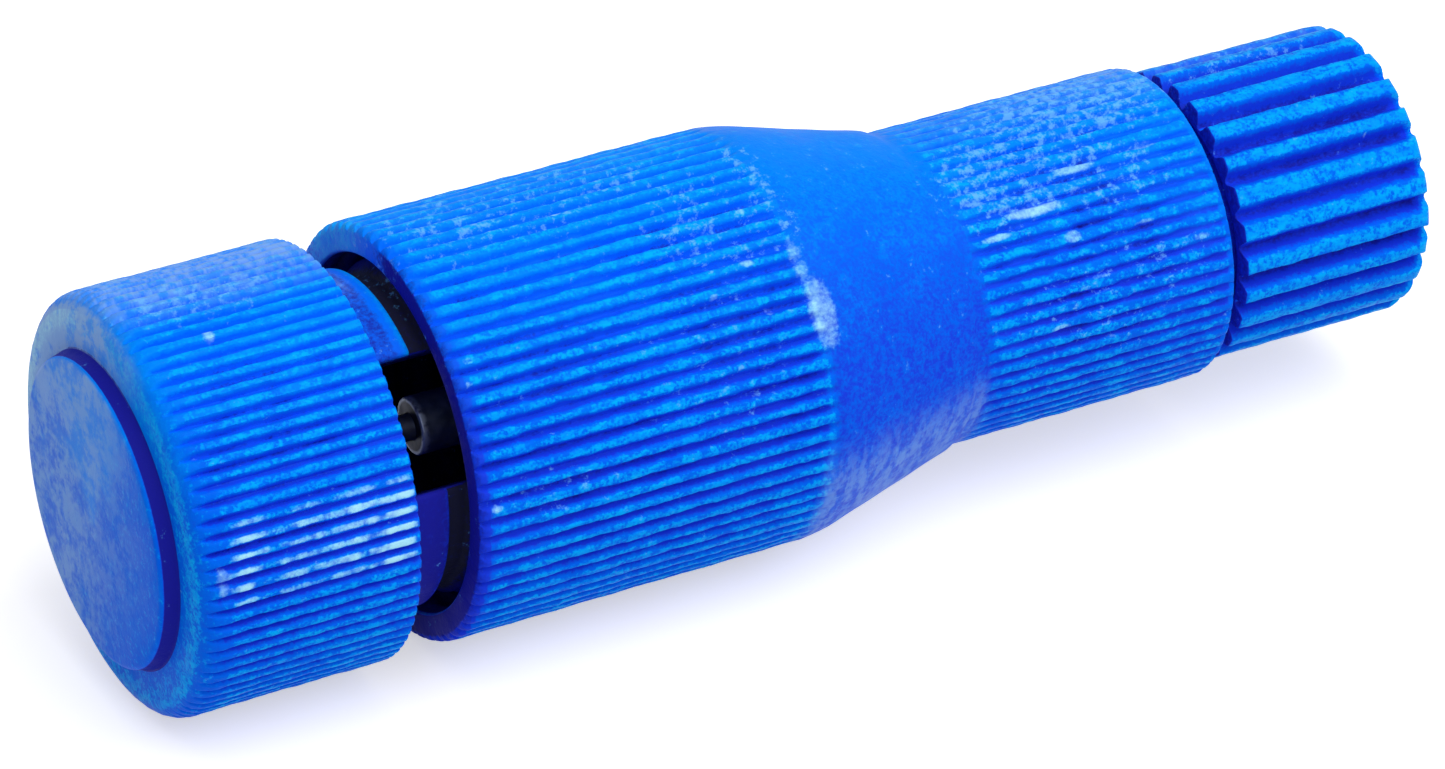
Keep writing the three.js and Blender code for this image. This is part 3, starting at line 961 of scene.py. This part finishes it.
# Noise in the materials: waves in a millimetre, finer waves on top of them, and how strong those are
Grain = namedtuple("Grain", "scale detail roughness")
CLOUD = Grain(0.7, 4.0, 0.6)
STREAK = Grain(1.0, 4.0, 0.65)
GRIT = Grain(3.2, 4.0, 0.7)
POWDER = Grain(9.0, 2.0, 0.6)
TURNING = Grain(1.0, 3.0, 0.6)
TARNISH = Grain(2.5, 4.0, 0.6)

# How a streaked noise is drawn out: its scale along X and across it
ALONG_X = (1.0, 4.0)
AROUND_X = (3.2, 0.8)
TURNED = (14.0, 0.4)

# Between which values a noise is spread out, from the narrowest to the widest
NARROW = (0.41, 0.58)
MIDDLING = (0.35, 0.65)
WIDE = (0.3, 0.7)
TARNISHED = (0.35, 0.7)
EDGE_GLINT = (0.35, 0.55)

# What a noise adds, from its low to its high end
GRIT_DEPTH = (0.14, -0.08)
POWDER_DEPTH = (0.1, -0.1)
CLOUD_TOP_LIGHT = (-0.3, 0.3)
PATCHY_SHEEN = (0.25, 1.0)

# Bumps: strength, and height in millimetres
GRIT_BUMP = (0.5, 0.06)
FINE_BUMP = (0.3, 0.02)

# The shares of depth over which one colour of the plastic goes over into the next
CREST_DEPTHS = (0.0, 0.3)
GROOVE_DEPTHS = (0.38, 0.85)
SEAM_DEPTHS = (1.1, 1.9)
INSIDE_DEPTHS = (2.2, 2.8)

# Colours of the plastic, from a crest with its painted highlight to the painted shade inside, and of its
# painted sheen, flecks and wear
CREST = (0.0, 0.3, 1.0)
BRIGHT = (0.0, 0.42, 1.0)
AZURE = (0.0, 0.24, 1.0)
ROYAL = (0.0, 0.13, 0.88)
DEEP = (0.0, 0.17, 1.0)
VIOLET = (0.01, 0.047, 0.75)
INK = (0.012, 0.014, 0.32)
PITCH = (0.018, 0.02, 0.055)
SHEEN_COLOUR = (0.22, 0.42, 0.86)
FLECK = (0.16, 0.5, 1.0)
PALE = (0.42, 0.83, 1.0)

# The plastic's painted sheen, flecks, wear with painted highlights, and sheen
AROUND_SHARE = 0.6  # the streaks' share in the patchy painted sheen, beside the grit's
SPECKLE_GAIN = 0.2  # what a speckled place adds
FLECKS = (0.64, 0.8)  # flecks appear between these values
FLECK_SHARE = 0.75  # and get this pale
STREAK_SHARE = 0.5  # what the noise adds to the wear and the painted highlights
LIT_AND_WORN_RANGE = (1.25, 2.15)  # wear and painted highlights appear between these values
LIT_AND_WORN_SHARE = 0.95  # and gets this pale
PLASTIC_ROUGHNESS = (0.36, 0.5)
PLASTIC_SHEEN = 0.02

# Colours and sheen of the plating
PLATE_DARK = (0.1, 0.125, 0.2)
PLATE_LIGHT = (0.17, 0.2, 0.29)
SHADED_PLATE = (0.025, 0.03, 0.05)
GLINT = (0.6, 0.68, 0.78)
PLATE_METALLIC = 0.6
PLATE_ROUGHNESS = (0.36, 0.55)


def blue_plastic():
    """Moulded blue with painted light and shade: painted highlights on the crests, painted shade in the
    grooves, lighter grooves on the upper side, a painted sheen, speckles, and wear with painted highlights.
    """
    material, nodes, links, shader = new_material("blue_plastic")
    wire = Wiring(nodes, links)
    mm = wire.millimetres()
    cloud = wire.noise(mm, CLOUD)
    along = wire.noise(wire.stretched(mm, *ALONG_X), STREAK)
    around = wire.noise(wire.stretched(mm, *AROUND_X), STREAK)
    grain = wire.noise(mm, GRIT)
    fine = wire.noise(mm, POWDER)
    depth = wire.maths("ADD", wire.share("depth"), wire.ramp(grain, *MIDDLING, *GRIT_DEPTH))
    depth = wire.maths("ADD", depth, wire.ramp(fine, *MIDDLING, *POWDER_DEPTH))
    # Painted light: the upper side gets lighter grooves and lighter smooth plastic
    top_light = wire.share("top_light")
    crest = wire.mix(wire.ramp(along, *MIDDLING), CREST, BRIGHT)
    clouded = wire.maths("ADD", top_light, wire.ramp(cloud, *WIDE, *CLOUD_TOP_LIGHT))
    smooth = wire.mix(wire.ramp(clouded, 0, 1), ROYAL, AZURE)
    groove = wire.mix(top_light, VIOLET, DEEP)
    # Painted highlight on the crests, painted shade in the grooves, the seams and the inside
    colour = wire.mix(wire.ramp(depth, *CREST_DEPTHS), crest, smooth)
    colour = wire.mix(wire.ramp(depth, *GROOVE_DEPTHS), colour, groove)
    colour = wire.mix(wire.ramp(depth, *SEAM_DEPTHS), colour, INK)
    colour = wire.mix(wire.ramp(depth, *INSIDE_DEPTHS), colour, PITCH)
    # Painted sheen: a pale painted reflection, broken up by streaks and grit
    patchy = wire.maths("MULTIPLY", around, AROUND_SHARE)
    patchy = wire.maths("ADD", patchy, wire.maths("MULTIPLY", grain, 1 - AROUND_SHARE))
    painted_sheen = wire.maths("MULTIPLY", wire.share("painted_sheen"), wire.ramp(patchy, *NARROW, *PATCHY_SHEEN))
    colour = wire.mix(painted_sheen, colour, SHEEN_COLOUR)
    flecks = wire.maths("ADD", grain, wire.maths("MULTIPLY", wire.share("speckle"), SPECKLE_GAIN))
    colour = wire.mix(wire.ramp(flecks, *FLECKS, 0, FLECK_SHARE), colour, FLECK)
    # Wear and painted highlights, almost white
    streaks = wire.maths("ADD", wire.maths("ADD", grain, along), fine)
    streaks = wire.maths("MULTIPLY", streaks, STREAK_SHARE)
    lit_and_worn = wire.maths("ADD", wire.share("highlight_and_wear"), streaks)
    colour = wire.mix(wire.ramp(lit_and_worn, *LIT_AND_WORN_RANGE, 0, LIT_AND_WORN_SHARE), colour, PALE)
    links.new(colour, shader.inputs["Base Color"])
    links.new(wire.ramp(cloud, *WIDE, *PLASTIC_ROUGHNESS), shader.inputs["Roughness"])
    shader.inputs["Specular IOR Level"].default_value = PLASTIC_SHEEN
    normal = wire.bump(grain, *GRIT_BUMP)
    normal = wire.bump(fine, *FINE_BUMP, normal)
    links.new(normal, shader.inputs["Normal"])
    return material


def plated_metal():
    """Dull grey plating with fine turning marks, with painted shade on its end face and needle and a painted
    glint at its edge.
    """
    material, nodes, links, shader = new_material("plated_metal")
    wire = Wiring(nodes, links)
    mm = wire.millimetres()
    turning = wire.noise(wire.stretched(mm, *TURNED), TURNING)
    tarnish = wire.noise(mm, TARNISH)
    colour = wire.mix(wire.ramp(tarnish, *TARNISHED), PLATE_DARK, PLATE_LIGHT)
    colour = wire.mix(wire.share("painted_shade"), colour, SHADED_PLATE)
    # Painted glint along the shank's front edge
    worn = wire.maths("MULTIPLY", wire.share("glint_edge"), wire.ramp(tarnish, *EDGE_GLINT))
    colour = wire.mix(worn, colour, GLINT)
    links.new(colour, shader.inputs["Base Color"])
    shader.inputs["Metallic"].default_value = PLATE_METALLIC
    links.new(wire.ramp(tarnish, *WIDE, *PLATE_ROUGHNESS), shader.inputs["Roughness"])
    links.new(wire.bump(turning, *FINE_BUMP), shader.inputs["Normal"])
    return material


def finish_moulding(piece, material, body_name, node):
    """Shares of colour and the plastic on a moulding that stands for a node and rides on a body."""
    soften(piece)
    x, r, fall, normal = coordinates(piece)
    depth = depth_share(x, r, fall)
    write_share(piece, "depth", depth)
    write_share(piece, "top_light", top_light_share(x, fall))
    write_share(piece, "painted_sheen", painted_sheen_share(x, r, fall, normal, depth))
    write_share(piece, "speckle", patches(SPECKLED, x, r, fall))
    write_share(piece, "highlight_and_wear", highlight_and_wear_share(x, r, fall, depth))
    piece.data.materials.clear()
    piece.data.materials.append(material)
    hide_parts(node)
    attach(piece, body_name)


# Painted shade on the needle and on the shank's end face
NEEDLE_SHADE = 0.5
DARK_EDGE = 0.7  # the end face has painted shade up to this share of the shank's edge
GLINT_SHARE = 0.6  # and the painted glint covers this share of it


def finish_contact(piece, material):
    """Painted shade, a painted glint at the edge, and the plating on the contact, which rides in the
    connector's body.
    """
    soften(piece)
    x, r, _, _ = coordinates(piece)
    end_face = (np.abs(x - SHANK_X) < ON_FACE) & (r < SHANK_RADIUS - DARK_EDGE * SHANK_EDGE)
    write_share(piece, "painted_shade", np.where(end_face, 1, np.where(x < SHANK_X, NEEDLE_SHADE, 0)))
    glint_edge = (x > SHANK_X - ON_FACE / 2) & (x < SHANK_X + SLIGHT)
    write_share(piece, "glint_edge", glint_edge & (r > SHANK_RADIUS - GLINT_SHARE * SHANK_EDGE))
    piece.data.materials.append(material)
    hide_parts("contact_core")
    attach(piece, "connector_body")


plastic = blue_plastic()
finish_moulding(tap_cap(), plastic, "tap_cap", "tap_cap")
finish_moulding(body(), plastic, "connector_body", "body")
finish_moulding(wire_cap(), plastic, "wire_cap", "wire_cap")
finish_contact(contact_core(), plated_metal())


# Floor, light and camera

FLOOR_HALF = 1.5
FLOOR_COLOUR = (0.82, 0.82, 0.82)
FLOOR_ROUGHNESS = 0.9
FLOOR_GLOW = 0.55
WHITE = (1, 1, 1, 1)
WORLD_STRENGTH = 0.42

# The softbox: its place, what it is aimed at and its sides, in millimetres, and its power in watts
KEY_PLACE = (30, -110, 215)
KEY_AIM = (0, 0, 6)
KEY_SIZE = (260, 260)
KEY_POWER = 0.5

# The camera looks down at the connector from the tap cap's end. Distance, aim, focal length, width of
# the sensor and nearest distance shown, in millimetres
CAMERA_HEADING = math.radians(61.43)
CAMERA_ELEVATION = math.radians(30.88)
CAMERA_DISTANCE = 213.0
CAMERA_AIM = (-1.3, -0.7, 5.4)
CAMERA_LENS = 174.4
CAMERA_SENSOR = 36
CAMERA_NEAREST = 10


def seen_directly(nodes, links):
    """1 for rays from the camera or from a mirror or glass, 0 for diffuse light."""
    path = nodes.new("ShaderNodeLightPath")
    total = path.outputs["Is Camera Ray"]
    for name in ("Is Glossy Ray", "Is Transmission Ray"):
        larger = nodes.new("ShaderNodeMath")
        larger.operation = "MAXIMUM"
        links.new(total, larger.inputs[0])
        links.new(path.outputs[name], larger.inputs[1])
        total = larger.outputs["Value"]
    return total


def floor():
    half = FLOOR_HALF
    mesh = bpy.data.meshes.new("floor")
    corners = [(-half, -half, 0), (half, -half, 0), (half, half, 0), (-half, half, 0)]
    mesh.from_pydata(corners, [], [(0, 1, 2, 3)])
    sheet = bpy.data.objects.new("floor", mesh)
    bpy.context.scene.collection.objects.link(sheet)
    material, nodes, links, shader = new_material("white_sweep")
    shader.inputs["Base Color"].default_value = (*FLOOR_COLOUR, 1)
    shader.inputs["Roughness"].default_value = FLOOR_ROUGHNESS
    shader.inputs["Specular IOR Level"].default_value = 0
    shader.inputs["Emission Color"].default_value = WHITE
    glow = nodes.new("ShaderNodeMath")
    glow.operation = "MULTIPLY"
    glow.inputs[1].default_value = FLOOR_GLOW
    links.new(seen_directly(nodes, links), glow.inputs[0])
    links.new(glow.outputs["Value"], shader.inputs["Emission Strength"])
    mesh.materials.append(material)


def studio():
    world = bpy.data.worlds.new("studio")
    world.use_nodes = True
    nodes, links = world.node_tree.nodes, world.node_tree.links
    background = nodes["Background"]
    background.inputs["Color"].default_value = WHITE
    strength = nodes.new("ShaderNodeMapRange")
    strength.inputs["To Min"].default_value = WORLD_STRENGTH
    strength.inputs["To Max"].default_value = 1
    links.new(seen_directly(nodes, links), strength.inputs["Value"])
    links.new(strength.outputs["Result"], background.inputs["Strength"])
    bpy.context.scene.world = world


def softbox(name, place_mm, aim_mm, size_mm, watts):
    lamp = bpy.data.lights.new(name, "AREA")
    lamp.shape = "RECTANGLE"
    lamp.size, lamp.size_y = (side * MM for side in size_mm)
    lamp.energy = watts
    holder = bpy.data.objects.new(name, lamp)
    holder.location = Vector(place_mm) * MM
    direction = (Vector(aim_mm) - Vector(place_mm)).normalized()
    holder.rotation_euler = direction.to_track_quat("-Z", "Y").to_euler()
    bpy.context.scene.collection.objects.link(holder)


def camera():
    forward = Vector((
        math.cos(CAMERA_HEADING) * math.cos(CAMERA_ELEVATION),
        math.sin(CAMERA_HEADING) * math.cos(CAMERA_ELEVATION),
        -math.sin(CAMERA_ELEVATION),
    ))
    data = bpy.data.cameras.new("camera")
    data.lens = CAMERA_LENS
    data.sensor_width = CAMERA_SENSOR
    data.clip_start = CAMERA_NEAREST * MM
    holder = bpy.data.objects.new("camera", data)
    holder.location = (Vector(CAMERA_AIM) - forward * CAMERA_DISTANCE) * MM
    holder.rotation_euler = forward.to_track_quat("-Z", "Y").to_euler()
    bpy.context.scene.collection.objects.link(holder)
    bpy.context.scene.camera = holder


floor()
studio()
softbox("key", KEY_PLACE, KEY_AIM, KEY_SIZE, KEY_POWER)
camera()
bpy.context.scene.view_settings.view_transform = "Standard"
